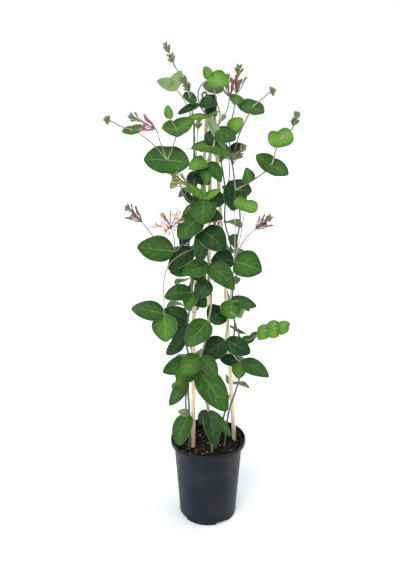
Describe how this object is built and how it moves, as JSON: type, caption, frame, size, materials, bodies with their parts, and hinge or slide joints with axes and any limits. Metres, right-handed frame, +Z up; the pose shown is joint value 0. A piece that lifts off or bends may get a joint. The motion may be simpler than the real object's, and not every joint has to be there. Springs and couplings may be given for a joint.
{
  "type": "potted honeysuckle vine",
  "caption": "Climbing honeysuckle in a round nursery pot, trained up a tripod of bamboo canes under a plastic cap, with joined leaf discs, bud sprays and flower heads.",
  "frame": {"origin": "centre of the pot's flat base, on the surface that it stands on", "axes": "+Z up the plant, -Y towards the side with the most flower heads, +X to its right seen from there"},
  "size_m": [0.3241, 0.2294, 0.9082],
  "materials": {
    "pot_plastic": "satin charcoal polypropylene, lightly scuffed",
    "compost": "damp crumbly bark compost",
    "bamboo": "pale dry bamboo with a low sheen",
    "cap_plastic": "dark green-black moulded plastic",
    "foliage": "smooth mid to dark green leaves with a soft sheen and pale veins, purple-brown stems",
    "green_buds": "matt yellow-green young buds",
    "flower_tubes": "matt maroon to pink flower tubes with green tips",
    "open_flowers": "soft pink and cream petals"
  },
  "bodies": {
    "root": {"pot": "pot_plastic", "soil": "compost", "cane_left": "bamboo", "cane_right": "bamboo", "cane_back": "bamboo", "cane_cap": "cap_plastic", "vine_left": "foliage", "vine_front": "foliage", "vine_right": "foliage", "vine_back_left": "foliage", "vine_back_right": "foliage", "head_top": "green_buds", "head_top_left": "green_buds", "head_tall": "flower_tubes", "head_tall_side": "flower_tubes", "head_far_right": "green_buds", "head_far_left": "green_buds", "head_pink": "flower_tubes", "head_right_top": "green_buds", "head_left": "flower_tubes", "head_open": "open_flowers", "head_right": "flower_tubes", "head_yellow": "green_buds", "head_inner": "green_buds", "head_back_left": "flower_tubes", "head_back_top": "green_buds", "head_back_right": "flower_tubes", "head_back_high": "green_buds"}
  },
  "joints": []
}
